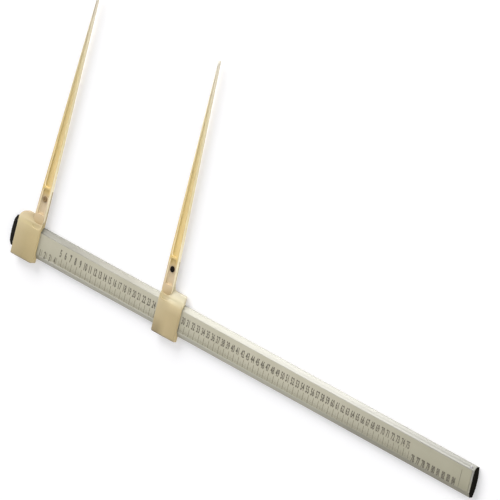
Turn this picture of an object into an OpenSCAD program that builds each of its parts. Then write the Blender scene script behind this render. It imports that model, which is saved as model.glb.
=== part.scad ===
// Infant measuring rod: a flat hollow rod with a centimetre scale, a head fixed at its
// zero end and a carriage that slides along it. Head and carriage each carry a long
// tapered arm, and the length is read between the two facing arms.
// It lies on its back with the scale facing up, in millimetres.

/* [Rod] */
// Distance from the zero face to the end line of the scale
scale_l = 850; // [600:1:1000]
// Bare length of the rod past the end line
tail_l = 22; // [14:0.5:40]
// Length of the rod that shows between the head and its end cap
neck_l = 2; // [1:0.5:8]
// Width of the rod
rod_w = 40; // [36:0.5:56]
// Thickness of the rod
rod_t = 6.5; // [6:0.25:8]
// Width of the sloped strip along each front edge
slope_w = 5.5; // [4.5:0.25:7]
// Drop of the sloped strip to the side of the rod
slope_d = 2.2; // [1.6:0.1:2.6]
// Wall of the hollow rod
rod_wall = 1.2; // [1:0.1:1.5]
// Distance from the rod's centreline to each inner web
web_y = 8; // [6:0.5:9]

/* [Scale strip] */
// Thickness of the printed strip, which is also the depth of its groove
strip_t = 0.4; // [0.3:0.05:0.6]
// Width of the lip on each side of the strip
strip_lip = 0.8; // [0.6:0.1:1.5]
// Bare metal between the end of the strip and the end of the rod
strip_gap = 4; // [1:0.25:5]

/* [End caps] */
// Length of the left end cap outside the rod
left_cap_l = 7; // [3:0.5:9]
// Length of the right end cap outside the rod
right_cap_l = 3; // [3:0.5:9]
// How far the middle of a cap bulges past its edges
cap_bulge = 2.4; // [0.5:0.1:2.8]
// Length of the tongues inside the rod
tongue_l = 12; // [10:0.5:25]
// Clearance around each tongue, which its crush ribs take up
tongue_gap = 0.2; // [0.1:0.05:0.3]

/* [Stop peg] */
// Diameter of the peg that keeps the carriage on the rod
peg_d = 3.5; // [2.5:0.25:4]
// Distance from the peg to the cut end of the rod
peg_x = 7.5; // [5:0.25:9]
// Height of the peg above the middle of the slope
peg_rise = 1.2; // [0.8:0.1:2]

/* [Collars] */
// Length of the head and of the carriage along the rod
collar_l = 46; // [42:0.5:60]
// Thickness of the side of a collar beyond the rod
side_wall = 8.5; // [7.5:0.25:12]
// Thickness of a collar in front of the rod
front_wall = 2.4; // [2.2:0.1:3.5]
// Thickness of a collar behind the rod
back_wall = 2; // [1.8:0.1:3]
// Width of the broad rounded slope on the collar's shoulder
shoulder_w = 22; // [16:0.5:24]
// Drop of the shoulder
shoulder_d = 4.4; // [3:0.2:4.6]
// Radius of the head's outer upper corner
head_corner_r = 11; // [4:0.5:14]
// How much further the collars reach on the arm's side than on the other
collar_rise = 2.5; // [1:0.5:3]
// Radius of the head's inner lower corner
head_lower_r = 7; // [1:0.5:8]
// Radius of the carriage's corners
carriage_corner_r = 1.8; // [1:0.2:4]
// Bevel around the front and back edges of a collar
edge_bevel = 1.4; // [0.8:0.2:2]
// Bevel that undercuts the two ends of a collar at its back
undercut = 6; // [1:0.5:6.5]
// Depth of the cored pockets in the back of the collar's sides
core_d = 4; // [2.5:0.5:4.5]
// Wall around the cored pockets
core_wall = 1.8; // [1.4:0.1:2.2]
// Number of pockets in each side
core_n = 3; // [2:1:4]

/* [Carriage fit] */
// Distance from the zero face to the carriage's measuring face at rest
reading = 243; // [60:0.5:700]
// Clearance around the rod inside the carriage
slide_gap = 0.3; // [0.2:0.05:0.4]
// Clearance of the glide, the shoe and the pads from the rod
glide_gap = 0.05; // [0.02:0.01:0.1]
// Length of the glide and of the brake shoe
shoe_l = 30; // [20:1:36]
// Thickness of the brake shoe
shoe_t = 1.8; // [1.5:0.1:2]
// Height of the glide, the shoe and the brake spring
shoe_h = 2.8; // [2:0.1:3]
// Thickness of the upper glide strip
glide_t = 1.4; // [1:0.1:1.5]
// Thickness of the leaf spring
spring_t = 0.4; // [0.3:0.05:0.5]
// Bow of the leaf spring
spring_bow = 1.6; // [1:0.1:2]
// Thickness of the felt pads on the back wall
pad_t = 1; // [0.8:0.1:1.2]

/* [Arms] */
// Reach of the arm beyond the collar
arm_l = 302; // [150:1:320]
// Width of the arm where it leaves the collar
root_w = 19; // [17:0.5:22]
// Width of the arm at its tip
tip_w = 3; // [2.6:0.2:8]
// Thickness of the arm where it leaves the collar
root_t = 4.8; // [4.6:0.1:5]
// Thickness of the arm at its tip
tip_t = 2; // [2:0.2:4]
// Thickness of the collar's ear behind the arm's root
ear_t = 1.5; // [1.3:0.1:1.6]
// Height of the ear above the collar, along the arm
ear_l = 40; // [36:1:60]
// How far the arm's foot is let into the collar
foot_l = 5.5; // [4:0.25:6]
// How far the arm lies below the front of the collar
arm_drop = 2; // [1.4:0.1:2.2]
// Radius of the lower corners of the arm's foot
foot_r = 6; // [2:0.5:8]
// Radius of the flare between the arm and the top of the collar
flare_r = 8; // [4:0.5:10]
// Length of the shallow flat in the collar below the arm's foot
dish_l = 7; // [3:0.5:7.5]
// Wall of the arm beside its channel
channel_wall = 2; // [1.6:0.1:2.4]
// Floor of the channel at the arm's root
channel_floor = 2.8; // [2.4:0.1:3]
// Distance from the collar to the lower end of the channel
channel_y = 44; // [41:0.5:70]
// Depth of the flat that seats the screw, below the front of the arm
pad_drop = 2; // [1.6:0.1:2.1]
// Depth of the small recess below the screw
recess_d = 0.5; // [0.3:0.1:0.5]
// Distance from the collar to the middle of the small recess
recess_y = 16; // [14:0.5:18]
// Length of the small recess
recess_l = 13; // [8:0.5:14]

/* [Arm screws] */
// Distance from the collar to the arm's screw
screw_y = 27.5; // [27:0.5:31]
// Diameter of the screw's shank
screw_d = 4; // [3:0.5:4]
// Diameter of the screw's head
screw_head_d = 8; // [7:0.25:9]
// Height of the screw's head
screw_head_h = 1; // [0.8:0.1:1.6]
// Width of the nut across its flats
nut_af = 7; // [6:0.25:8]
// Thickness of the nut
nut_t = 2.4; // [2:0.1:2.8]
// Thickness of the washer
washer_t = 0.6; // [0.4:0.1:0.8]

/* [Head screws] */
// Diameter of the screws that fix the head to the rod
fix_d = 3; // [2.5:0.25:3.5]
// Length of the screws that fix the head
fix_l = 5.2; // [4.6:0.1:5.6]
// Distance of each from the rod's centreline
fix_y = 13; // [12:0.5:14]

/* [Hidden] */
$fn = 48;
eps = 0.01;
over = 1;

metal_colour = [0.72, 0.71, 0.66];
strip_colour = [0.66, 0.65, 0.58];
plastic_colour = [0.84, 0.75, 0.53];
cap_colour = [0.06, 0.06, 0.06];
dark_colour = [0.10, 0.09, 0.08];
steel_colour = [0.60, 0.60, 0.62];

// Places along the rod, from the zero face
rod_left = -collar_l - neck_l;
rod_right = scale_l + tail_l;
rod_l = rod_right - rod_left;
half_w = rod_w / 2;

// The collar around the rod
collar_top = half_w + side_wall;
collar_front = rod_t + front_wall;
collar_back = -back_wall;
collar_z = collar_front - collar_back;

// The arm, whose thickness tapers equally from its front and its back
arm_tip = collar_top + arm_l;
arm_foot = collar_top - foot_l;
arm_front = collar_front - arm_drop;
arm_back = arm_front - root_t;
lap_z = arm_back + ear_t;
lap_top = collar_top + ear_l;
taper_z = (root_t - tip_t) / 2;
channel_start = collar_top + channel_y;
rim_w = 1.6;
function arm_w(y) = root_w + (tip_w - root_w) * (y - collar_top) / arm_l;
screw_at = [arm_w(collar_top + screw_y) / 2, collar_top + screw_y];
pad_z = arm_front - pad_drop;

// The brake's pocket in the side of the carriage
pocket_end_gap = 0.5;
pocket_l = shoe_l + 2 * pocket_end_gap;
pocket_z = (rod_t - slope_d) / 2 - shoe_h / 2;
pocket_d = shoe_t + spring_t + spring_bow + glide_gap;

// Ends of the middle of the part, so that it stands at the centre of its footprint
left_most = rod_left - left_cap_l;
right_most = rod_right + right_cap_l;
centre_x = (left_most + right_most) / 2;
centre_y = (arm_tip - collar_top) / 2;

// Puts a piece where the part's own frame has it
module placed() {
  translate([-centre_x, -centre_y, back_wall]) children();
}

// Extrudes a profile drawn across the rod from x0 to x1
module along_rod(x0, x1) {
  translate([x0, 0, 0]) rotate([90, 0, 90]) linear_extrude(x1 - x0) children();
}

// Extrudes a profile drawn along the rod, seen from the side, over the whole collar
module across_rod(y0, y1) {
  translate([0, y1, 0]) rotate([90, 0, 0]) linear_extrude(y1 - y0) children();
}

function unit(v) = v / norm(v);

// Points of an arc that rounds the corner at b between a and c
function round_corner(a, b, c, r, n = 8) =
  let (u = unit(a - b), v = unit(c - b), half = acos(u * v) / 2)
  let (m = b + unit(u + v) * r / sin(half), reach = r / tan(half))
  let (p = b + u * reach - m, q = b + v * reach - m)
  let (start = atan2(p[1], p[0]), turn = atan2(q[1], q[0]) - start)
  let (sweep = turn > 180 ? turn - 360 : turn < -180 ? turn + 360 : turn)
  [for (i = [0:n]) m + r * [cos(start + sweep * i / n), sin(start + sweep * i / n)]];

// An outline with each corner rounded by its own radius
function rounded(pts, radii) = let (n = len(pts))
  [for (i = [0:n - 1]) each radii[i] > 0
    ? round_corner(pts[(i + n - 1) % n], pts[i], pts[(i + 1) % n], radii[i])
    : [pts[i]]];

// The rod's outline across its length, drawn in by g all round, or grown where g is below zero
function slope_len() = norm([slope_w, slope_d]);
function side_top(g) = rod_t - (g * slope_len() + slope_d * (slope_w - g)) / slope_w;
function face_half(g) = half_w - slope_w + (slope_w * g - g * slope_len()) / slope_d;
function rod_outline(g) = [
  [-(half_w - g), g], [half_w - g, g], [half_w - g, side_top(g)],
  [face_half(g), rod_t - g], [-face_half(g), rod_t - g], [-(half_w - g), side_top(g)]];

// The hollow inside the rod, drawn in by g, with its webs left standing
module rod_hollow(g) {
  inset = rod_wall + g;
  difference() {
    polygon(rod_outline(inset));
    translate([-half_w, rod_t - inset - strip_t]) square([rod_w, rod_t]);
    for (s = [-1, 1])
      translate([s * web_y - rod_wall / 2 - g, 0]) square([rod_wall + 2 * g, rod_t]);
  }
}

// Top of the slope, half way across it
slope_mid_y = half_w - slope_w / 2;
slope_mid_z = rod_t - slope_d / 2;

module rod_profile() {
  color(metal_colour) placed() difference() {
    along_rod(rod_left, rod_right) difference() {
      polygon(rod_outline(0));
      rod_hollow(0);
      strip_half = half_w - slope_w - strip_lip;
      translate([-strip_half, rod_t - strip_t]) square([2 * strip_half, rod_t]);
    }
    peg_hole();
    for (s = [-1, 1]) fixing_hole(s);
  }
}

module scale_strip() {
  strip_half = half_w - slope_w - strip_lip;
  color(strip_colour) placed()
    translate([rod_left + strip_gap, -strip_half, rod_t - strip_t])
      cube([rod_l - 2 * strip_gap, 2 * strip_half, strip_t]);
}

// A cap at the right end, drawn from the rod's cut end at x = 0
module cap_solid(cap_l) {
  bulge_r = (pow(half_w, 2) + pow(cap_bulge, 2)) / (2 * cap_bulge);
  intersection() {
    along_rod(0, cap_l) polygon(rod_outline(0));
    translate([cap_l - bulge_r, 0, -over]) cylinder(h = rod_t + 2 * over, r = bulge_r, $fn = 96);
  }
  along_rod(-tongue_l, eps) rod_hollow(tongue_gap);
  rib_w = 0.8;
  rib_x = tongue_l - 2;
  for (s = [-1, 1], y = [web_y + 3.2, web_y + 7.2])
    translate([-rib_x, s * y - rib_w / 2, rod_wall]) cube([rib_x, rib_w, tongue_gap + eps]);
  for (y = [-web_y / 2, web_y / 2])
    translate([-rib_x, y - rib_w / 2, rod_wall]) cube([rib_x, rib_w, tongue_gap + eps]);
}

module left_end_cap() {
  color(cap_colour) placed() translate([rod_left, 0, 0]) mirror([1, 0, 0]) cap_solid(left_cap_l);
}

module right_end_cap() {
  color(cap_colour) placed() difference() {
    translate([rod_right, 0, 0]) cap_solid(right_cap_l);
    peg_hole();
  }
}

module peg_hole() {
  translate([rod_right - peg_x, slope_mid_y, rod_wall])
    cylinder(h = rod_t, d = peg_d);
}

module stop_peg() {
  peg_top = slope_mid_z + peg_rise;
  tip_bevel = 0.4;
  color(dark_colour) placed() translate([rod_right - peg_x, slope_mid_y, rod_wall]) {
    cylinder(h = peg_top - rod_wall - tip_bevel, d = peg_d);
    translate([0, 0, peg_top - rod_wall - tip_bevel])
      cylinder(h = tip_bevel, d1 = peg_d, d2 = peg_d - 2 * tip_bevel);
  }
}

// The shoulder seen along the rod, from its outer edge in to the front of the collar
function shoulder_arc(top, n = 10) =
  let (r = (pow(shoulder_w, 2) + pow(shoulder_d, 2)) / (2 * shoulder_d), sweep = asin(shoulder_w / r))
  [for (i = [n:-1:0]) [top - shoulder_w + r * sin(sweep * i / n),
                       collar_front - r + r * cos(sweep * i / n)]];

// The collar's form without its openings: measuring face at x = 0, body towards +x
module collar_form(outer_r, lower_r) {
  top = collar_top + collar_rise;
  plan = rounded([[0, -collar_top], [collar_l, -collar_top], [collar_l, top], [0, top]],
                 [lower_r, carriage_corner_r, outer_r, 0]);
  side = [[-collar_top, collar_back + edge_bevel], [-collar_top + edge_bevel, collar_back],
          [top - edge_bevel, collar_back], [top, collar_back + edge_bevel],
          each shoulder_arc(top),
          [-collar_top + 1.6 * edge_bevel, collar_front],
          [-collar_top, collar_front - edge_bevel]];
  length = [[0, collar_back + undercut], [undercut, collar_back],
            [collar_l - undercut, collar_back], [collar_l, collar_back + undercut],
            [collar_l, collar_front - edge_bevel], [collar_l - edge_bevel, collar_front],
            [edge_bevel / 2, collar_front], [0, collar_front - edge_bevel / 2]];
  intersection() {
    translate([0, 0, collar_back]) linear_extrude(collar_z) polygon(plan);
    along_rod(0, collar_l) polygon(side);
    across_rod(-collar_top, top) polygon(length);
  }
  // The flare between arm and shoulder, and the ear behind the arm
  root_y = top - shoulder_w;
  flare_x = arm_w(top + flare_r) + flare_r;
  flare_plan = [[0, root_y], [flare_x, root_y],
                for (i = [0:8]) [flare_x, top + flare_r] - flare_r * [sin(90 * i / 8), cos(90 * i / 8)],
                [0, top + flare_r]];
  translate([0, 0, arm_back]) linear_extrude(collar_front - shoulder_d - arm_back) polygon(flare_plan);
  ear_plan = [[0, root_y], [root_w, root_y], [arm_w(lap_top), lap_top], [0, lap_top]];
  translate([0, 0, arm_back]) linear_extrude(ear_t) polygon(ear_plan);
}

// Cored pockets in the back of one side of a collar, between their ribs
module core_pockets() {
  inner_y = half_w + glide_t + glide_gap + core_wall;
  start = undercut + 1;
  pitch = (collar_l - 2 * start + core_wall) / core_n;
  for (i = [0:core_n - 1])
    translate([start + i * pitch, inner_y, collar_back - over])
      cube([pitch - core_wall, collar_top - core_wall - inner_y, core_d + over]);
}

// What the collars have cut out of them for the arm and its screw
module arm_cuts() {
  foot_plan = rounded([[0, arm_foot], [arm_w(arm_foot), arm_foot],
                       [arm_w(lap_top), lap_top + eps], [0, lap_top + eps]], [foot_r, foot_r, 0, 0]);
  translate([0, 0, lap_z]) linear_extrude(collar_z) {
    polygon(foot_plan);
    translate([-over, arm_foot + foot_r]) square([over + eps, ear_l]);
  }
  dish_low = arm_foot - dish_l;
  dish_plan = rounded([[edge_bevel, dish_low], [arm_w(dish_low), dish_low],
                       [arm_w(arm_foot), arm_foot + foot_r], [edge_bevel, arm_foot + foot_r]],
                      [foot_r, foot_r, 0, 0]);
  translate([0, 0, collar_front - front_wall * 0.55]) linear_extrude(collar_z) polygon(dish_plan);
  translate([screw_at[0], screw_at[1], arm_back - over]) cylinder(h = root_t, d = screw_d);
}

module fixing_hole(s) {
  translate([-collar_l / 2, s * fix_y, collar_back - over])
    cylinder(h = fix_l + over, d = fix_d);
}

module head_collar() {
  head_depth = fix_d / 2;
  color(plastic_colour) placed() difference() {
    mirror([1, 0, 0]) difference() {
      collar_form(head_corner_r, head_lower_r);
      arm_cuts();
      core_pockets();
      mirror([0, 1, 0]) core_pockets();
    }
    along_rod(-collar_l - over, over) polygon(rod_outline(0));
    for (s = [-1, 1]) {
      fixing_hole(s);
      translate([-collar_l / 2, s * fix_y, collar_back - over])
        cylinder(h = head_depth + over, d1 = 2 * (fix_d + over), d2 = fix_d);
    }
  }
}

module head_fixing_screws() {
  head_depth = fix_d / 2;
  socket_d = fix_d / 2;
  color(steel_colour) placed() for (s = [-1, 1])
    translate([-collar_l / 2, s * fix_y, collar_back]) difference() {
      union() {
        cylinder(h = head_depth, d1 = 2 * fix_d, d2 = fix_d);
        cylinder(h = fix_l, d = fix_d);
      }
      translate([0, 0, -over]) cylinder(h = over + head_depth * 0.8, d = socket_d, $fn = 6);
    }
}

module carriage_collar() {
  color(plastic_colour) placed() translate([reading, 0, 0]) difference() {
    collar_form(carriage_corner_r, carriage_corner_r);
    arm_cuts();
    core_pockets();
    along_rod(-over, collar_l + over) polygon(rod_outline(-slide_gap));
    brake_pocket();
    glide_pocket();
    pad_pockets();
  }
}

// The pocket for the shoe and its spring opens into the bore on the lower side
module brake_pocket() {
  translate([(collar_l - pocket_l) / 2, -half_w - pocket_d, pocket_z])
    cube([pocket_l, pocket_d + eps, shoe_h]);
}

module glide_pocket() {
  translate([(collar_l - shoe_l) / 2, half_w - eps, pocket_z])
    cube([shoe_l, glide_t + glide_gap + eps, shoe_h]);
}

module upper_glide() {
  color("white") placed()
    translate([reading + (collar_l - shoe_l) / 2, half_w + glide_gap, pocket_z])
      cube([shoe_l, glide_t, shoe_h]);
}

module brake_shoe() {
  tip = 1;
  plan = [[0, tip], [tip, 0], [shoe_l - tip, 0], [shoe_l, tip], [shoe_l, shoe_t], [0, shoe_t]];
  color(dark_colour) placed()
    translate([reading + (collar_l - shoe_l) / 2, -half_w - glide_gap, pocket_z])
      mirror([0, 1, 0]) linear_extrude(shoe_h) polygon(plan);
}

// A bowed leaf, whose ends press on the pocket's floor and whose middle presses on the shoe
module brake_spring() {
  span = shoe_l - 4;
  r = (pow(span / 2, 2) + pow(spring_bow, 2)) / (2 * spring_bow);
  crown = -half_w - glide_gap - shoe_t;
  color(steel_colour) placed()
    translate([reading + collar_l / 2, crown - r, pocket_z]) intersection() {
      difference() {
        cylinder(h = shoe_h, r = r, $fn = 96);
        translate([0, 0, -over]) cylinder(h = shoe_h + 2 * over, r = r - spring_t, $fn = 96);
      }
      translate([-span / 2, r - spring_bow - spring_t, 0])
        cube([span, spring_bow + spring_t, shoe_h]);
    }
}

pad_l = 12;
pad_w = 10;
module pad_at(s) {
  translate([(collar_l - pad_l) / 2, s * half_w / 2 - pad_w / 2, -glide_gap - pad_t]) children();
}

module pad_pockets() {
  for (s = [-1, 1]) pad_at(s) cube([pad_l, pad_w, pad_t + over]);
}

module back_pads() {
  color(dark_colour) placed() translate([reading, 0, 0])
    for (s = [-1, 1]) pad_at(s) cube([pad_l, pad_w, pad_t]);
}

// The arm: measuring edge at x = 0, tapering in width and in thickness to its tip
module arm_solid() {
  tip_r = tip_w * 0.45;
  plan = rounded([[0, arm_foot], [arm_w(arm_foot), arm_foot], [tip_w, arm_tip], [0, arm_tip]],
                 [foot_r, foot_r, tip_r, tip_r]);
  side = [[arm_foot, lap_z], [lap_top, lap_z], [lap_top, arm_back], [arm_tip, arm_back + taper_z],
          [arm_tip, arm_front - taper_z], [lap_top, arm_front], [arm_foot, arm_front]];
  difference() {
    intersection() {
      linear_extrude(collar_front + over) polygon(plan);
      along_rod(-over, root_w + 2 * over) polygon(side);
    }
    arm_channel();
    arm_pad();
    translate([screw_at[0], screw_at[1], 0]) cylinder(h = collar_front + over, d = screw_d);
  }
}

// The long channel, open to the front, with a round lower end
module arm_channel() {
  end_y = arm_tip - 6;
  tip_wall = min(channel_wall, tip_w / 3);
  plan = rounded([[channel_wall, channel_start], [arm_w(channel_start) - channel_wall, channel_start],
                  [arm_w(end_y) - tip_wall, end_y], [tip_wall, end_y]],
                 [4, 4, 0, 0]);
  floor_tip = arm_back + taper_z + tip_t * 0.6;
  side = [[channel_start - over, arm_back + channel_floor], [end_y, floor_tip],
          [end_y, collar_front + over], [channel_start - over, collar_front + over]];
  intersection() {
    linear_extrude(collar_front + over) polygon(plan);
    along_rod(0, root_w) polygon(side);
  }
}

// The flat below the channel that seats the screw, and the small recess under it
module arm_pad() {
  pad_low = collar_top + recess_y - recess_l / 2 - 2;
  pad_high = channel_start - 3;
  plan = rounded([[rim_w, pad_low], [arm_w(pad_low) - rim_w, pad_low],
                  [arm_w(pad_high) - rim_w, pad_high], [rim_w, pad_high]],
                 [1.5, 1.5, 3, 3]);
  translate([0, 0, pad_z]) linear_extrude(pad_drop + over) polygon(plan);
  recess_w = arm_w(collar_top + recess_y) - 2 * (rim_w + 2.2);
  recess = rounded([[0, 0], [recess_w, 0], [recess_w, recess_l], [0, recess_l]], [1.5, 1.5, 1.5, 1.5]);
  translate([rim_w + 2.2, collar_top + recess_y - recess_l / 2, pad_z - recess_d])
    linear_extrude(recess_d + over) polygon(recess);
}

module arm_screw() {
  shank_l = pad_z - arm_back + washer_t + nut_t + 0.5;
  socket_af = screw_d * 0.625;
  translate([screw_at[0], screw_at[1], pad_z]) difference() {
    union() {
      translate([0, 0, -shank_l]) cylinder(h = shank_l + eps, d = screw_d);
      cylinder(h = screw_head_h * 0.6, d = screw_head_d);
      translate([0, 0, screw_head_h * 0.6])
        cylinder(h = screw_head_h * 0.4, d1 = screw_head_d, d2 = screw_head_d - 1.6);
    }
    translate([0, 0, screw_head_h * 0.35])
      cylinder(h = screw_head_h, d = socket_af / cos(30), $fn = 6);
  }
}

module arm_washer() {
  translate([screw_at[0], screw_at[1], arm_back - washer_t]) difference() {
    cylinder(h = washer_t, d = screw_d * 2.2);
    translate([0, 0, -over]) cylinder(h = washer_t + 2 * over, d = screw_d);
  }
}

module arm_nut() {
  translate([screw_at[0], screw_at[1], arm_back - washer_t - nut_t]) difference() {
    cylinder(h = nut_t, d = nut_af / cos(30), $fn = 6);
    translate([0, 0, -over]) cylinder(h = nut_t + 2 * over, d = screw_d);
  }
}

module on_head() {
  placed() mirror([1, 0, 0]) children();
}

module on_carriage() {
  placed() translate([reading, 0, 0]) children();
}

module head_arm() { color(plastic_colour) on_head() arm_solid(); }
module head_arm_screw() { color(dark_colour) on_head() arm_screw(); }
module head_arm_washer() { color(steel_colour) on_head() arm_washer(); }
module head_arm_nut() { color(steel_colour) on_head() arm_nut(); }
module carriage_arm() { color(plastic_colour) on_carriage() arm_solid(); }
module carriage_arm_screw() { color(dark_colour) on_carriage() arm_screw(); }
module carriage_arm_washer() { color(steel_colour) on_carriage() arm_washer(); }
module carriage_arm_nut() { color(steel_colour) on_carriage() arm_nut(); }

rod_profile();
scale_strip();
left_end_cap();
right_end_cap();
stop_peg();
head_collar();
head_arm();
head_arm_screw();
head_arm_washer();
head_arm_nut();
head_fixing_screws();
carriage_collar();
carriage_arm();
carriage_arm_screw();
carriage_arm_washer();
carriage_arm_nut();
upper_glide();
brake_shoe();
brake_spring();
back_pads();
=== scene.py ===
import math

import bpy
from mathutils import Matrix, Vector


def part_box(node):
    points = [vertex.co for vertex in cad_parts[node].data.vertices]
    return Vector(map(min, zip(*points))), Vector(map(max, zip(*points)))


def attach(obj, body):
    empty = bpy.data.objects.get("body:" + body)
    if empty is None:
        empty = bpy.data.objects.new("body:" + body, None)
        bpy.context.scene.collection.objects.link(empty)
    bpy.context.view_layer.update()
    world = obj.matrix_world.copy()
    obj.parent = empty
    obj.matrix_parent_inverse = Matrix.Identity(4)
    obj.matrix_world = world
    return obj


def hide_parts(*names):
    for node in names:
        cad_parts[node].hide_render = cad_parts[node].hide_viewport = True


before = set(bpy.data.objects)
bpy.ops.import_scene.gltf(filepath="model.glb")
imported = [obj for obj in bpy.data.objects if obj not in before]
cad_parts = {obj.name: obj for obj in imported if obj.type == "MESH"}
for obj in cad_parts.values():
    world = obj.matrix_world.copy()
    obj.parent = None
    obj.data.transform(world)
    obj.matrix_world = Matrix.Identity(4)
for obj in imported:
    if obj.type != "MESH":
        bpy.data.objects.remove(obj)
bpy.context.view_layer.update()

mm = 0.001
white = (1, 1, 1, 1)

# The photograph's lines run almost parallel, so the camera stands far off with a long lens. "towards"
# points from the rod to the camera
view = {
    "place": (18.199952, 6.334498, 17.050836),
    "towards": (0.70783675, 0.24686087, 0.66183597),
    "pictureUp": (-0.33827574, 0.94098499, 0.01080575),
    "lens": 1484.89,
    "sensor": 36,
    "nearest": 1,
    "farthest": 100,
}


def addCamera():
    back = Vector(view["towards"]).normalized()
    right = Vector(view["pictureUp"]).cross(back).normalized()
    up = back.cross(right)
    data = bpy.data.cameras.new("photoCamera")
    data.lens = view["lens"]
    data.sensor_width = view["sensor"]
    data.clip_start = view["nearest"]
    data.clip_end = view["farthest"]
    camera = bpy.data.objects.new("photoCamera", data)
    bpy.context.scene.collection.objects.link(camera)
    turn = Matrix((right, up, back)).transposed().to_4x4()
    camera.matrix_world = Matrix.Translation(view["place"]) @ turn
    bpy.context.scene.camera = camera


# A socket takes a plain value, or a link where the value is another node's output
def feed(tree, socket, value):
    if isinstance(value, bpy.types.NodeSocket):
        tree.links.new(value, socket)
    else:
        socket.default_value = value


# A node with its properties and sockets given by name, a space in a socket's name written as _
def addNode(tree, kind, spot, **values):
    node = tree.nodes.new(kind)
    node.location = spot
    for name, value in values.items():
        if hasattr(node, name):
            setattr(node, name, value)
        else:
            feed(tree, node.inputs[name.replace("_", " ")], value)
    return node


def calculate(tree, spot, operation, *values):
    node = addNode(tree, "ShaderNodeMath", spot, operation=operation)
    for socket, value in zip(node.inputs, values):
        feed(tree, socket, value)
    return node.outputs["Value"]


# Which sockets of a Mix node are those for colours
mixSockets = {"factor": 0, "first": 6, "second": 7, "result": 2}


def mixColour(tree, spot, factor, first, second, mode="MIX"):
    node = addNode(tree, "ShaderNodeMix", spot, data_type="RGBA", blend_type=mode)
    feed(tree, node.inputs[mixSockets["factor"]], factor)
    feed(tree, node.inputs[mixSockets["first"]], first)
    feed(tree, node.inputs[mixSockets["second"]], second)
    return node.outputs[mixSockets["result"]]


# A second colour laid over the first where the mask shows it, as strongly as its share allows
def layColour(tree, spot, mask, share, colour, upperColour):
    factor = calculate(tree, (spot[0] - 300, spot[1] - 300), "MULTIPLY", mask, share)
    return mixColour(tree, spot, factor, colour, upperColour)


def mixShader(tree, spot, factor, first, second):
    mix = addNode(tree, "ShaderNodeMixShader", spot, Fac=factor)
    tree.links.new(first, mix.inputs[1])
    tree.links.new(second, mix.inputs[2])
    return mix.outputs["Shader"]


# A group with inputs by name and kind, whose outputs are all plain values
def newGroup(name, inputs, outputs):
    group = bpy.data.node_groups.new(name, "ShaderNodeTree")
    for label, kind in inputs.items():
        group.interface.new_socket(name=label, in_out="INPUT", socket_type="NodeSocket" + kind)
    for label in outputs:
        group.interface.new_socket(name=label, in_out="OUTPUT", socket_type="NodeSocketFloat")
    start = addNode(group, "NodeGroupInput", (-800, 0))
    end = addNode(group, "NodeGroupOutput", (600, 0))
    return group, start.outputs, end.inputs


def useGroup(tree, group, spot, **values):
    return addNode(tree, "ShaderNodeGroup", spot, node_tree=group, **values).outputs


def newMaterial(name, **values):
    material = bpy.data.materials.new(name)
    material.use_nodes = True
    tree = material.node_tree
    shader = tree.nodes["Principled BSDF"]
    for label, value in values.items():
        shader.inputs[label.replace("_", " ")].default_value = value
    place = addNode(tree, "ShaderNodeTexCoord", (-1400, 0))
    return material, tree, shader, place.outputs["Object"]


# Moulded or rolled grain: a height for the bump and a slow patch for colour and roughness
def makeGrain():
    group, start, end = newGroup("surfaceGrain", {"Vector": "Vector", "Fine": "Float", "Slow": "Float"},
                                 ("Height", "Patch"))
    fine = addNode(group, "ShaderNodeTexNoise", (-500, 150), Vector=start["Vector"], Scale=start["Fine"],
                   Detail=3.0, Roughness=0.6)
    slow = addNode(group, "ShaderNodeTexNoise", (-500, -150), Vector=start["Vector"], Scale=start["Slow"],
                   Detail=4.0, Roughness=0.55)
    spread = addNode(group, "ShaderNodeMapRange", (-250, -150), Value=slow.outputs["Fac"],
                     From_Min=0.3, From_Max=0.7)
    group.links.new(fine.outputs["Fac"], end["Height"])
    group.links.new(spread.outputs["Result"], end["Patch"])
    return group


# Where an edge is rubbed: there the rounded normal leaves the true one
def makeEdgeWear():
    group, start, end = newGroup("edgeWear", {"Vector": "Vector", "Radius": "Float", "Breakup": "Float"},
                                 ("Mask",))
    rounded = addNode(group, "ShaderNodeBevel", (-550, 100), samples=4, Radius=start["Radius"])
    flat = addNode(group, "ShaderNodeNewGeometry", (-550, -50))
    meet = addNode(group, "ShaderNodeVectorMath", (-350, 50), operation="DOT_PRODUCT")
    group.links.new(rounded.outputs["Normal"], meet.inputs[0])
    group.links.new(flat.outputs["Normal"], meet.inputs[1])
    spread = addNode(group, "ShaderNodeMapRange", (-150, 50), Value=meet.outputs["Value"],
                     From_Min=0.995, From_Max=0.80)
    patch = addNode(group, "ShaderNodeTexNoise", (-550, -300), Vector=start["Vector"],
                    Scale=start["Breakup"], Detail=5.0, Roughness=0.7)
    cut = addNode(group, "ShaderNodeMapRange", (-350, -300), Value=patch.outputs["Fac"],
                  From_Min=0.42, From_Max=0.62)
    both = calculate(group, (150, 0), "MULTIPLY", spread.outputs["Result"], cut.outputs["Result"])
    group.links.new(both, end["Mask"])
    return group


# Fine dust that lies on what faces up
def makeDust():
    group, start, end = newGroup("restingDust", {"Vector": "Vector", "Size": "Float"}, ("Mask",))
    specks = addNode(group, "ShaderNodeTexNoise", (-550, 100), Vector=start["Vector"], Scale=start["Size"],
                     Detail=6.0, Roughness=0.75)
    cut = addNode(group, "ShaderNodeMapRange", (-350, 100), Value=specks.outputs["Fac"],
                  From_Min=0.58, From_Max=0.74)
    facing = addNode(group, "ShaderNodeNewGeometry", (-550, -150))
    split = addNode(group, "ShaderNodeSeparateXYZ", (-350, -150), Vector=facing.outputs["Normal"])
    upper = addNode(group, "ShaderNodeMapRange", (-150, -150), Value=split.outputs["Z"], From_Min=0.4)
    both = calculate(group, (150, 0), "MULTIPLY", cut.outputs["Result"], upper.outputs["Result"])
    group.links.new(both, end["Mask"])
    return group


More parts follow.
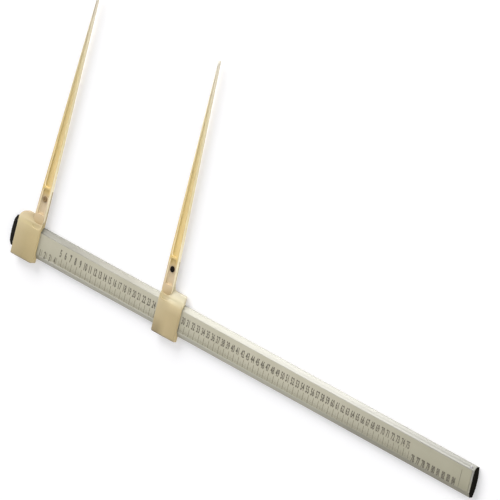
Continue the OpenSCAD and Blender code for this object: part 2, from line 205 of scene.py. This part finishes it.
# Lines drawn out along the rod by its rolling or brushing, and the same lines broadened to streaks
def makeDrawnLines():
    group, start, end = newGroup("drawnLines", {"Vector": "Vector", "Across": "Float", "Along": "Float"},
                                 ("Height", "Streak"))
    shape = addNode(group, "ShaderNodeCombineXYZ", (-600, -200), X=start["Along"], Y=start["Across"],
                    Z=start["Across"])
    stretch = addNode(group, "ShaderNodeVectorMath", (-400, 0), operation="MULTIPLY")
    group.links.new(start["Vector"], stretch.inputs[0])
    group.links.new(shape.outputs["Vector"], stretch.inputs[1])
    broaden = addNode(group, "ShaderNodeVectorMath", (-400, -250), operation="SCALE",
                      Vector=stretch.outputs["Vector"], Scale=0.12)
    lines = addNode(group, "ShaderNodeTexNoise", (-200, 100), Vector=stretch.outputs["Vector"],
                    Scale=1.0, Detail=3.0, Roughness=0.6)
    broad = addNode(group, "ShaderNodeTexNoise", (-200, -250), Vector=broaden.outputs["Vector"],
                    Scale=1.0, Detail=3.0, Roughness=0.6)
    group.links.new(lines.outputs["Fac"], end["Height"])
    group.links.new(broad.outputs["Fac"], end["Streak"])
    return group


# The flanks of an arm, which face along the rod either way, and whatever faces down at the back
def makeFlanks():
    group, _, end = newGroup("flanksAndBack", {}, ("Mask", "Back"))
    facing = addNode(group, "ShaderNodeNewGeometry", (-550, 0))
    split = addNode(group, "ShaderNodeSeparateXYZ", (-350, 0), Vector=facing.outputs["Normal"])
    sideways = calculate(group, (-150, 0), "ABSOLUTE", split.outputs["X"])
    down = calculate(group, (-150, -250), "MULTIPLY", split.outputs["Z"], -1)
    for turned, label, level in ((sideways, "Mask", 0), (down, "Back", -250)):
        spread = addNode(group, "ShaderNodeMapRange", (100, level), Value=turned,
                         From_Min=0.2, From_Max=0.7)
        group.links.new(spread.outputs["Result"], end[label])
    return group


grain = makeGrain()
edgeWear = makeEdgeWear()
flanks = makeFlanks()
dust = makeDust()
drawnLines = makeDrawnLines()


def addBump(tree, shader, height, strength, depth):
    bump = addNode(tree, "ShaderNodeBump", (-250, -350), Height=height,
                   Strength=strength, Distance=depth)
    tree.links.new(bump.outputs["Normal"], shader.inputs["Normal"])


def addRoughness(tree, shader, value, rough):
    spread = addNode(tree, "ShaderNodeMapRange", (-450, -150), Value=value,
                     To_Min=rough[0], To_Max=rough[1])
    tree.links.new(spread.outputs["Result"], shader.inputs["Roughness"])


# A screen colour, out of 255, as the linear one that a shader takes
def rgb(red, green, blue):
    def plain(value):
        value = value / 255
        return value / 12.92 if value <= 0.04045 else ((value + 0.055) / 1.055) ** 2.4
    return (plain(red), plain(green), plain(blue), 1)


# The scale's zero, at the head's measuring face, and the rod's centreline
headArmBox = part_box("head_arm")
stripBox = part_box("scale_strip")
zeroPoint = (headArmBox[1].x, (stripBox[0].y + stripBox[1].y) / 2)


# A tone that changes slowly along the rod ("X") or the arms ("Y"), by millimetres from zeroPoint
def toneAlong(tree, place, axis, tones, spot):
    origin = zeroPoint["XY".index(axis)]
    first, last = min(tones), max(tones)
    split = addNode(tree, "ShaderNodeSeparateXYZ", (spot[0] - 450, spot[1]), Vector=place)
    spread = addNode(tree, "ShaderNodeMapRange", (spot[0] - 250, spot[1]), Value=split.outputs[axis],
                     From_Min=origin + first * mm, From_Max=origin + last * mm)
    ramp = addNode(tree, "ShaderNodeValToRGB", spot, Fac=spread.outputs["Result"])
    stops = ramp.color_ramp.elements
    for where in sorted(tones):
        tone = tones[where] if isinstance(tones[where], tuple) else (tones[where],) * 3 + (1,)
        if where in (first, last):
            stops[0 if where == first else -1].color = tone
        else:
            stops.new((where - first) / (last - first)).color = tone
    return ramp.outputs["Color"]


creamFinish = {
    "rubbed": rgb(236, 226, 198),
    "dust": rgb(220, 214, 200),
    "patchDeep": (0.93, 0.93, 0.93, 1),
    "specular": 0.45,
    "grainFine": 2600.0,
    "grainSlow": 26.0,
    "wearRadius": 0.9 * mm,
    "wearBreakup": 260.0,
    "wornShare": 0.4,
    "dustSize": 1100.0,
    "dustShare": 0.16,
    "rough": (0.40, 0.52),
    "bumpStrength": 0.25,
    "bumpDepth": 0.05 * mm,
}
# Each collar's tones across the rod, darker towards its lower edge (the head's towards its top edge too):
# painted shade. Its shoulder beside the arm is paler: a painted sheen
headCreamTones = {
    "along": {-28: rgb(172, 155, 112), -10: rgb(180, 162, 117), 6: rgb(184, 166, 121),
              18: rgb(190, 174, 130), 31: rgb(168, 150, 116)},
    "shoulder": {-22: 0.0, -4: 1.0},
    "paintedShoulderLight": {-28: rgb(190, 172, 127), 6: rgb(194, 176, 130), 18: rgb(192, 174, 130),
                     31: rgb(166, 148, 112)},
    "back": rgb(186, 168, 124),
}
carriageCreamTones = {
    "along": {-28: rgb(138, 121, 82), -18: rgb(156, 138, 96), -8: rgb(178, 160, 118),
              8: rgb(183, 166, 124), 31: rgb(183, 166, 122)},
    "shoulder": {254: 0.0, 268: 1.0},
    "paintedShoulderLight": {4: rgb(186, 168, 126), 14: rgb(206, 189, 146), 21: rgb(212, 202, 168),
                     31: rgb(200, 193, 169)},
    "back": rgb(186, 168, 124),
}
# The arms are pinkish about their screws, yellow in their channels and pale towards their tips. Their tones
# along the arm are set to the brightness seen there, so they carry painted light and shade too: the dark
# foot where the arm enters the collar is painted shade, and the pale flanks are painted light on the
# channel walls and sides
armCreamTones = {
    "along": {22: rgb(194, 168, 120), 44: rgb(212, 192, 160), 58: rgb(206, 184, 148),
              66: rgb(214, 186, 118), 180: rgb(218, 196, 136), 250: rgb(230, 216, 170),
              330: rgb(242, 238, 226)},
    "paintedLitFlank": {20: rgb(212, 198, 166), 60: rgb(238, 228, 196), 140: rgb(224, 210, 164),
              330: rgb(208, 200, 178)},
    "back": rgb(214, 194, 144),
}


def makeCream(name, tones):
    material, tree, shader, place = newMaterial(name, Specular_IOR_Level=creamFinish["specular"])
    moulded = useGroup(tree, grain, (-1150, 200), Vector=place, Fine=creamFinish["grainFine"],
                       Slow=creamFinish["grainSlow"])
    wear = useGroup(tree, edgeWear, (-1150, -50), Vector=place, Radius=creamFinish["wearRadius"],
                    Breakup=creamFinish["wearBreakup"])
    specks = useGroup(tree, dust, (-1150, -300), Vector=place, Size=creamFinish["dustSize"])
    sides = useGroup(tree, flanks, (-1150, 1150))
    # The tone across each collar and along each arm, with painted shade and painted light set into it
    colour = toneAlong(tree, place, "Y", tones["along"], (-1300, 900))
    # The shoulder's paler tone is a painted sheen
    if "paintedShoulderLight" in tones:
        pale = toneAlong(tree, place, "Y", tones["paintedShoulderLight"], (-1300, 650))
        share = toneAlong(tree, place, "X", tones["shoulder"], (-1300, 450))
        colour = mixColour(tree, (-950, 700), share, colour, pale)
    colour = mixColour(tree, (-800, 700), sides["Back"], colour, tones["back"])
    patch = mixColour(tree, (-900, 350), moulded["Patch"], creamFinish["patchDeep"], white)
    colour = mixColour(tree, (-700, 450), 1.0, colour, patch, "MULTIPLY")
    # The steep flanks of the arms are painted paler: painted light on the channel walls and sides
    if "paintedLitFlank" in tones:
        pale = toneAlong(tree, place, "Y", tones["paintedLitFlank"], (-1300, 650))
        colour = mixColour(tree, (-600, 500), sides["Mask"], colour, pale)
    colour = layColour(tree, (-500, 250), wear["Mask"], creamFinish["wornShare"],
                       colour, creamFinish["rubbed"])
    colour = layColour(tree, (-300, 250), specks["Mask"], creamFinish["dustShare"],
                       colour, creamFinish["dust"])
    tree.links.new(colour, shader.inputs["Base Color"])
    addRoughness(tree, shader, moulded["Patch"], creamFinish["rough"])
    addBump(tree, shader, moulded["Height"], creamFinish["bumpStrength"], creamFinish["bumpDepth"])
    return material


# The rod's upper slope carries a painted reflection, brightest in the middle of the rod and dimmer towards
# its ends;
# its lower slope carries a painted shade, darkest towards the ends
metalFinishAndPaintedLight = {
    "deep": rgb(179, 178, 169),
    "pale": rgb(204, 203, 195),
    "rubbed": rgb(222, 220, 210),
    "upper": {-48: (0.44, 0.43, 0.40, 1), 30: (0.45, 0.445, 0.42, 1), 150: (0.615, 0.60, 0.57, 1),
              300: (0.955, 0.945, 0.895, 1), 500: 1.0, 620: 0.97, 720: 0.82, 800: 0.69, 872: 0.59},
    "lower": {-48: (0.62, 0.61, 0.55, 1), 400: (0.78, 0.77, 0.69, 1), 560: (0.73, 0.72, 0.64, 1),
              640: (0.55, 0.54, 0.48, 1), 872: (0.52, 0.50, 0.43, 1)},
    "upperShare": {-2: 0.0, 2: 1.0},
    "back": (0.72, 0.72, 0.68, 1),
    "metallic": 0.3,
    "linesAcross": 1900.0,
    "linesAlong": 5.0,
    "grainSlow": 18.0,
    "wearRadius": 0.6 * mm,
    "wearBreakup": 300.0,
    "wornShare": 0.2,
    "rough": (0.40, 0.54),
    "bumpStrength": 0.2,
    "bumpDepth": 0.03 * mm,
}


def makeRodMetal():
    material, tree, shader, place = newMaterial("satinMetal", Metallic=metalFinishAndPaintedLight["metallic"])
    lines = useGroup(tree, drawnLines, (-1150, 150), Vector=place, Across=metalFinishAndPaintedLight["linesAcross"],
                     Along=metalFinishAndPaintedLight["linesAlong"])
    rolled = useGroup(tree, grain, (-1150, -100), Vector=place, Slow=metalFinishAndPaintedLight["grainSlow"])
    wear = useGroup(tree, edgeWear, (-1150, -350), Vector=place, Radius=metalFinishAndPaintedLight["wearRadius"],
                    Breakup=metalFinishAndPaintedLight["wearBreakup"])
    sides = useGroup(tree, flanks, (-1150, 1300))
    colour = mixColour(tree, (-900, 200), lines["Streak"], metalFinishAndPaintedLight["deep"], metalFinishAndPaintedLight["pale"])
    # Painted reflection along the upper slope, painted shade along the lower one
    upper = toneAlong(tree, place, "X", metalFinishAndPaintedLight["upper"], (-1300, 1100))
    lower = toneAlong(tree, place, "X", metalFinishAndPaintedLight["lower"], (-1300, 850))
    upperShare = toneAlong(tree, place, "Y", metalFinishAndPaintedLight["upperShare"], (-1300, 600))
    paintedSlopeLight = mixColour(tree, (-900, 800), upperShare, lower, upper)
    paintedSlopeLight = mixColour(tree, (-800, 650), sides["Back"], paintedSlopeLight, metalFinishAndPaintedLight["back"])
    colour = mixColour(tree, (-700, 400), 1.0, colour, paintedSlopeLight, "MULTIPLY")
    colour = layColour(tree, (-450, 200), wear["Mask"], metalFinishAndPaintedLight["wornShare"],
                       colour, metalFinishAndPaintedLight["rubbed"])
    tree.links.new(colour, shader.inputs["Base Color"])
    addRoughness(tree, shader, rolled["Patch"], metalFinishAndPaintedLight["rough"])
    addBump(tree, shader, lines["Height"], metalFinishAndPaintedLight["bumpStrength"], metalFinishAndPaintedLight["bumpDepth"])
    return material


# The printed strip darkens towards its lower edge and towards its far end: painted shade over the print's
# colour
stripFinishAndPaintedShade = {
    "deep": rgb(176, 172, 152),
    "pale": rgb(187, 183, 164),
    "across": {-14: (0.80, 0.80, 0.78, 1), -4: (0.95, 0.95, 0.94, 1), 6: 1.0},
    "along": {-48: 0.95, 140: 0.96, 390: 1.0, 560: 0.98, 660: 0.88, 872: (0.71, 0.71, 0.67, 1)},
    "streak": rgb(194, 190, 172),
    "dust": rgb(204, 200, 188),
    "specular": 0.4,
    "grainFine": 1500.0,
    "grainSlow": 14.0,
    "linesAcross": 900.0,
    "linesAlong": 8.0,
    "streakShare": 0.25,
    "dustSize": 700.0,
    "dustShare": 0.25,
    "rough": (0.42, 0.58),
    "bumpStrength": 0.12,
    "bumpDepth": 0.03 * mm,
}


def makeStrip():
    material, tree, shader, place = newMaterial("printedStrip", Specular_IOR_Level=stripFinishAndPaintedShade["specular"])
    coated = useGroup(tree, grain, (-1150, 200), Vector=place, Fine=stripFinishAndPaintedShade["grainFine"],
                      Slow=stripFinishAndPaintedShade["grainSlow"])
    lines = useGroup(tree, drawnLines, (-1150, -50), Vector=place, Across=stripFinishAndPaintedShade["linesAcross"],
                     Along=stripFinishAndPaintedShade["linesAlong"])
    specks = useGroup(tree, dust, (-1150, -300), Vector=place, Size=stripFinishAndPaintedShade["dustSize"])
    colour = mixColour(tree, (-900, 300), coated["Patch"], stripFinishAndPaintedShade["deep"], stripFinishAndPaintedShade["pale"])
    colour = layColour(tree, (-650, 250), lines["Streak"], stripFinishAndPaintedShade["streakShare"],
                       colour, stripFinishAndPaintedShade["streak"])
    colour = layColour(tree, (-450, 250), specks["Mask"], stripFinishAndPaintedShade["dustShare"],
                       colour, stripFinishAndPaintedShade["dust"])
    # Painted shade: darker towards the lower edge across the strip, and towards the far end along it
    across = toneAlong(tree, place, "Y", stripFinishAndPaintedShade["across"], (-1300, 800))
    along = toneAlong(tree, place, "X", stripFinishAndPaintedShade["along"], (-1300, 550))
    colour = mixColour(tree, (-350, 500), 1.0, colour, across, "MULTIPLY")
    colour = mixColour(tree, (-200, 400), 1.0, colour, along, "MULTIPLY")
    tree.links.new(colour, shader.inputs["Base Color"])
    addRoughness(tree, shader, lines["Streak"], stripFinishAndPaintedShade["rough"])
    addBump(tree, shader, coated["Height"], stripFinishAndPaintedShade["bumpStrength"], stripFinishAndPaintedShade["bumpDepth"])
    return material


# What all plain finishes share
plainFinish = {
    "grainSlow": 90.0,
    "wearRadius": 0.4 * mm,
    "wearBreakup": 500.0,
    "wornShare": 0.5,
    "bumpStrength": 0.3,
}


# A plain finish with its own grain: colour between two tones, rubbed at the edges
def makePlain(name, deep, pale, rubbed, rough, fine, depth, metallic=0.0, specular=0.5):
    material, tree, shader, place = newMaterial(name, Metallic=metallic, Specular_IOR_Level=specular)
    coated = useGroup(tree, grain, (-1150, 200), Vector=place, Fine=fine, Slow=plainFinish["grainSlow"])
    wear = useGroup(tree, edgeWear, (-1150, -50), Vector=place, Radius=plainFinish["wearRadius"],
                    Breakup=plainFinish["wearBreakup"])
    colour = mixColour(tree, (-900, 250), coated["Patch"], deep, pale)
    colour = layColour(tree, (-500, 250), wear["Mask"], plainFinish["wornShare"], colour, rubbed)
    tree.links.new(colour, shader.inputs["Base Color"])
    addRoughness(tree, shader, coated["Patch"], rough)
    addBump(tree, shader, coated["Height"], plainFinish["bumpStrength"], depth)
    return material


feltFinish = {
    "deep": rgb(34, 34, 34),
    "pale": rgb(78, 78, 76),
    "roughness": 0.95,
    "specular": 0.2,
    "firstFibres": {"Across": 2600.0, "Along": 420.0},
    "secondFibres": {"Across": 2300.0, "Along": 380.0},
    "crossing": (0, 0, 1.2),
    "bumpStrength": 0.8,
    "bumpDepth": 0.2 * mm,
}


# Felt: a matted pile of short crossing fibres
def makeFelt():
    material, tree, shader, place = newMaterial("feltPad", Roughness=feltFinish["roughness"],
                                                Specular_IOR_Level=feltFinish["specular"])
    turn = addNode(tree, "ShaderNodeMapping", (-1350, -150), Vector=place, Rotation=feltFinish["crossing"])
    first = useGroup(tree, drawnLines, (-1150, 200), Vector=place, **feltFinish["firstFibres"])
    second = useGroup(tree, drawnLines, (-1150, -150), Vector=turn.outputs["Vector"],
                      **feltFinish["secondFibres"])
    pile = calculate(tree, (-900, 0), "MAXIMUM", first["Height"], second["Height"])
    colour = mixColour(tree, (-600, 200), pile, feltFinish["deep"], feltFinish["pale"])
    tree.links.new(colour, shader.inputs["Base Color"])
    addBump(tree, shader, pile, feltFinish["bumpStrength"], feltFinish["bumpDepth"])
    return material


inkFinish = {
    "deep": rgb(76, 71, 57),
    "pale": rgb(100, 94, 79),
    "grainSlow": 160.0,
    "rough": (0.45, 0.6),
}


# Numbers and lines printed in dark ink, a little worn
def makeInk():
    material, tree, shader, place = newMaterial("scaleInk")
    worn = useGroup(tree, grain, (-1150, 200), Vector=place, Slow=inkFinish["grainSlow"])
    colour = mixColour(tree, (-600, 200), worn["Patch"], inkFinish["deep"], inkFinish["pale"])
    tree.links.new(colour, shader.inputs["Base Color"])
    addRoughness(tree, shader, worn["Patch"], inkFinish["rough"])
    return material


headCream = makeCream("headCream", headCreamTones)
carriageCream = makeCream("carriageCream", carriageCreamTones)
armCream = makeCream("armCream", armCreamTones)
rodMetal = makeRodMetal()
strip = makeStrip()
ink = makeInk()
blackCap = makePlain("blackCap", deep=rgb(8, 7, 4), pale=rgb(18, 16, 11), rubbed=rgb(44, 40, 32),
                     rough=(0.6, 0.74), fine=1900.0, depth=0.06 * mm, specular=0.05)
darkMetal = makePlain("blackenedMetal", deep=rgb(10, 5, 2), pale=rgb(20, 11, 6), rubbed=rgb(48, 36, 26),
                      rough=(0.5, 0.6), fine=2400.0, depth=0.03 * mm, specular=0.05)
# The head's screw is the same as the carriage's; here it is given a brown colour in place of black
brownMetal = makePlain("brownScrewMetal", deep=rgb(110, 88, 54), pale=rgb(142, 118, 80),
                       rubbed=rgb(176, 154, 116), rough=(0.45, 0.6), fine=2400.0, depth=0.03 * mm,
                       metallic=0.3)
pegMetal = makePlain("rubbedPeg", deep=rgb(148, 146, 148), pale=rgb(190, 188, 192),
                     rubbed=rgb(232, 232, 236), rough=(0.3, 0.42), fine=2400.0, depth=0.03 * mm,
                     metallic=0.5)
zinc = makePlain("brightZinc", deep=rgb(168, 168, 172), pale=rgb(200, 200, 202),
                 rubbed=rgb(226, 226, 226), rough=(0.25, 0.4), fine=2000.0, depth=0.03 * mm,
                 metallic=0.9)
glideWhite = makePlain("glideWhite", deep=rgb(224, 224, 218), pale=rgb(238, 238, 234),
                       rubbed=rgb(246, 246, 244), rough=(0.3, 0.4), fine=2200.0, depth=0.03 * mm)
shoeBlack = makePlain("shoeBlack", deep=rgb(26, 26, 26), pale=rgb(44, 44, 44), rubbed=rgb(92, 92, 90),
                      rough=(0.5, 0.65), fine=2200.0, depth=0.05 * mm)
felt = makeFelt()
print("materials made")


def paint(piece, material):
    piece.data.materials.clear()
    piece.data.materials.append(material)


dressing = {
    "joinWithin": 2e-6,
    "flatWithin": math.radians(1),
    "edgeSteps": 2,
    "edgeFrom": math.radians(28),
}


# A copy of a CAD node with its loose triangles joined and its edges eased
def dressNode(node, name, body, material, ease):
    bpy.ops.object.select_all(action="DESELECT")
    piece = bpy.data.objects.new(name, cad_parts[node].data.copy())
    bpy.context.scene.collection.objects.link(piece)
    bpy.context.view_layer.objects.active = piece
    piece.select_set(True)
    bpy.ops.object.mode_set(mode="EDIT")
    bpy.ops.mesh.select_all(action="SELECT")
    bpy.ops.mesh.remove_doubles(threshold=dressing["joinWithin"])
    bpy.ops.mesh.dissolve_limited(angle_limit=dressing["flatWithin"])
    bpy.ops.object.mode_set(mode="OBJECT")
    bevel = piece.modifiers.new("easedEdges", "BEVEL")
    bevel.width = ease
    bevel.segments = dressing["edgeSteps"]
    bevel.limit_method = "ANGLE"
    bevel.angle_limit = dressing["edgeFrom"]
    bevel.use_clamp_overlap = True
    bpy.ops.object.modifier_apply(modifier=bevel.name)
    bpy.ops.object.shade_smooth_by_angle(angle=dressing["edgeFrom"])
    paint(piece, material)
    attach(piece, body)
    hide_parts(node)


dressNode("head_collar", "headCollar", "rod", headCream, ease=0.5 * mm)
dressNode("carriage_collar", "carriageCollar", "carriage", carriageCream, ease=0.4 * mm)
dressNode("head_arm", "headArm", "rod", armCream, ease=0.35 * mm)
dressNode("carriage_arm", "carriageArm", "carriage", armCream, ease=0.35 * mm)
dressNode("rod_profile", "rodBar", "rod", rodMetal, ease=0.25 * mm)
dressNode("left_end_cap", "leftCap", "rod", blackCap, ease=0.4 * mm)
dressNode("right_end_cap", "rightCap", "rod", blackCap, ease=0.4 * mm)
print("dressed pieces made")

# The nodes that keep their CAD meshes
for node, material in (("scale_strip", strip), ("stop_peg", pegMetal), ("head_arm_screw", brownMetal),
                       ("head_arm_washer", zinc), ("head_arm_nut", zinc), ("head_fixing_screws", zinc),
                       ("carriage_arm_screw", darkMetal), ("carriage_arm_washer", zinc),
                       ("carriage_arm_nut", zinc), ("upper_glide", glideWhite), ("brake_shoe", shoeBlack),
                       ("brake_spring", zinc), ("back_pads", felt)):
    paint(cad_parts[node], material)

# The printed scale: its zero, the rod's centreline, the strip's face that the ink lies on, and the feet
# of its lines, just inside the strip's lower edge
scale = {
    "zero": zeroPoint[0],
    "middle": zeroPoint[1],
    "height": stripBox[1].z,
    "pitch": 10 * mm,
    "inkDepth": 0.04 * mm,
    "narrow": 0.54,
    "curveSteps": 3,
    "lineFoot": stripBox[0].y - zeroPoint[1] + 0.1 * mm,
}
# Each run of numbers: their shift from their own lines, their row off the centreline, size and boldness.
# The first four and the last nine stand lower than the rest
numberRuns = (
    {"counts": range(1, 5), "shift": -3.2 * mm, "row": -10.4 * mm, "size": 12.6 * mm, "bold": 0.34 * mm},
    {"counts": range(5, 15), "shift": -4.4 * mm, "row": 2.2 * mm, "size": 13.0 * mm, "bold": 0.52 * mm},
    {"counts": range(15, 76), "shift": -4.4 * mm, "row": 2.2 * mm, "size": 13.0 * mm, "bold": 0.34 * mm},
    {"counts": range(76, 85), "shift": -0.5 * mm, "row": -10.4 * mm, "size": 12.6 * mm, "bold": 0.52 * mm},
)


def addNumber(value, x, y, size, bold):
    bpy.ops.object.select_all(action="DESELECT")
    bpy.ops.object.text_add(location=(0, 0, 0))
    number = bpy.context.object
    number.data.body = str(value)
    number.data.size = size
    number.data.align_x = "CENTER"
    number.data.align_y = "CENTER"
    number.data.resolution_u = scale["curveSteps"]
    number.data.offset = bold
    number.data.extrude = scale["inkDepth"] / 2
    bpy.ops.object.convert(target="MESH")
    number.scale = (scale["narrow"], 1, 1)
    number.location = (x, y, scale["height"] + scale["inkDepth"] / 2)
    bpy.ops.object.transform_apply(location=True, rotation=False, scale=True)
    return number


def joinAll(pieces, name):
    bpy.ops.object.select_all(action="DESELECT")
    for piece in pieces:
        piece.select_set(True)
    bpy.context.view_layer.objects.active = pieces[0]
    bpy.ops.object.join()
    whole = bpy.context.object
    whole.name = name
    bpy.ops.object.transform_apply(location=True, rotation=True, scale=True)
    return whole


numbers = []
for run in numberRuns:
    for count in run["counts"]:
        numbers.append(addNumber(count, scale["zero"] + count * scale["pitch"] + run["shift"],
                                 scale["middle"] + run["row"], run["size"], run["bold"]))
scaleNumbers = joinAll(numbers, "scaleNumbers")
paint(scaleNumbers, ink)
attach(scaleNumbers, "rod")
print("numbers printed")


# One line of the scale, repeated along the rod, and that row repeated again where there are groups
def addLines(name, first, count, gap, top, width, groups=1, groupGap=0):
    foot = scale["lineFoot"]
    bpy.ops.object.select_all(action="DESELECT")
    bpy.ops.mesh.primitive_cube_add(size=1, location=(
        scale["zero"] + first, scale["middle"] + (foot + top) / 2, scale["height"] + scale["inkDepth"] / 2))
    line = bpy.context.object
    line.name = name
    line.scale = (width, top - foot, scale["inkDepth"])
    bpy.ops.object.transform_apply(location=True, rotation=False, scale=True)
    for offset, times in ((gap, count), (groupGap, groups)):
        if times > 1:
            row = line.modifiers.new("row", "ARRAY")
            row.use_relative_offset = False
            row.use_constant_offset = True
            row.constant_offset_displace = (offset, 0, 0)
            row.count = times
            bpy.ops.object.modifier_apply(modifier=row.name)
    return line


centimetre = scale["pitch"]
lines = [
    addLines("centimetres", first=50 * mm, count=71, gap=centimetre, top=-3.4 * mm, width=0.7 * mm),
    addLines("lowCentimetres", first=0, count=5, gap=centimetre, top=-5.5 * mm, width=0.65 * mm),
    addLines("highCentimetres", first=760 * mm, count=9, gap=centimetre, top=-5.5 * mm, width=0.65 * mm),
    addLines("halves", first=45 * mm, count=72, gap=centimetre, top=-7.4 * mm, width=0.22 * mm),
    addLines("millimetres", first=46 * mm, count=4, gap=1 * mm, top=-9.6 * mm, width=0.075 * mm,
             groups=142, groupGap=5 * mm),
    addLines("endLine", first=850 * mm, count=1, gap=0, top=9 * mm, width=0.7 * mm),
]
scaleLines = joinAll(lines, "scaleLines")
paint(scaleLines, ink)
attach(scaleLines, "rod")
print("lines printed")


# 1 where the camera sees the place straight, in a reflection or through glass
def seenDirectly(tree):
    path = addNode(tree, "ShaderNodeLightPath", (-800, 300)).outputs
    reflected = calculate(tree, (-600, 300), "MAXIMUM", path["Is Camera Ray"], path["Is Glossy Ray"])
    return calculate(tree, (-450, 300), "MAXIMUM", reflected, path["Is Transmission Ray"])


paleFloor = {
    "size": 12,
    "colour": (0.81, 0.81, 0.83, 1),
    "glow": 2.1,
    "glowShare": 0.18,
}


# A matt floor that takes the shadows, with a little glow of its own where it is seen directly
def addFloor():
    bpy.ops.object.select_all(action="DESELECT")
    bpy.ops.mesh.primitive_plane_add(size=paleFloor["size"], location=(0, 0, 0))
    floor = bpy.context.object
    floor.name = "floor"
    material = bpy.data.materials.new("paleFloor")
    material.use_nodes = True
    tree = material.node_tree
    tree.nodes.remove(tree.nodes["Principled BSDF"])
    matt = addNode(tree, "ShaderNodeBsdfDiffuse", (-200, 100), Color=paleFloor["colour"])
    glow = addNode(tree, "ShaderNodeEmission", (-200, -50), Color=white, Strength=paleFloor["glow"])
    share = calculate(tree, (-300, 300), "MULTIPLY", seenDirectly(tree), paleFloor["glowShare"])
    mixed = mixShader(tree, (50, 50), share, matt.outputs["BSDF"], glow.outputs["Emission"])
    tree.links.new(mixed, tree.nodes["Material Output"].inputs["Surface"])
    floor.data.materials.append(material)


# Which way each lamp stands, its strength, where 1 shows white paper that faces it as white, and its
# softness in degrees
windowLight = {"towards": (-0.50, 0.82, 0.27), "strength": 1.5, "softness": 58}
sideLight = {"towards": (-0.97, 0.05, 0.22), "strength": 0.50, "softness": 50}
fillLight = {"towards": (0.97, 0.12, 0.17), "strength": 0.90, "softness": 70}
daylight = (1.0, 0.99, 0.97)
room = {"colour": (0.97, 0.97, 1.0, 1), "strength": 0.26}


def addLamp(name, settings):
    data = bpy.data.lights.new(name, "SUN")
    data.energy = settings["strength"] * math.pi
    data.angle = math.radians(settings["softness"])
    data.color = daylight
    lamp = bpy.data.objects.new(name, data)
    bpy.context.scene.collection.objects.link(lamp)
    lamp.rotation_euler = Vector(settings["towards"]).to_track_quat("Z", "Y").to_euler()


# A dim room lights the part, and plain white is seen in its place
def addRoom():
    world = bpy.data.worlds.new("room")
    bpy.context.scene.world = world
    world.use_nodes = True
    tree = world.node_tree
    dim = tree.nodes["Background"]
    dim.inputs["Color"].default_value = room["colour"]
    dim.inputs["Strength"].default_value = room["strength"]
    seen = addNode(tree, "ShaderNodeBackground", (0, -200), Color=white)
    mixed = mixShader(tree, (250, 100), seenDirectly(tree), dim.outputs["Background"],
                      seen.outputs["Background"])
    tree.links.new(mixed, tree.nodes["World Output"].inputs["Surface"])


addCamera()
addFloor()
addLamp("windowLight", windowLight)
addLamp("sideLight", sideLight)
addLamp("fillLight", fillLight)
addRoom()
bpy.context.scene.view_settings.view_transform = "Standard"
print("camera, floor and lights set")
